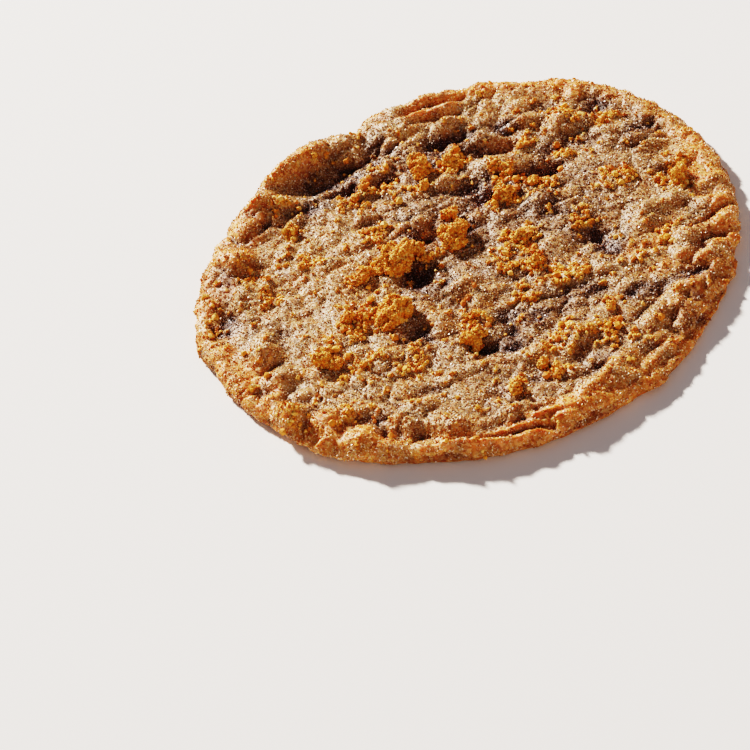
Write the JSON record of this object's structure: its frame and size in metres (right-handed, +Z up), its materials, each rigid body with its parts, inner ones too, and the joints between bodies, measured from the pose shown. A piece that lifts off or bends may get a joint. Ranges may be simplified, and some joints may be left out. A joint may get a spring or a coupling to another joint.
{
  "type": "thin crisp cookie",
  "caption": "Thin round crisp cookie with a crinkled browned top, a raised folded rim and a flat underside.",
  "frame": {"origin": "middle of the flat underside, which lies on z = 0", "axes": "+Z up through the thickness, from the underside to the crinkled top"},
  "size_m": [0.0731, 0.0732, 0.0045],
  "materials": {
    "baked_crust": "matt, granular browned crust"
  },
  "bodies": {
    "root": {"cookie": "baked_crust"}
  },
  "joints": []
}
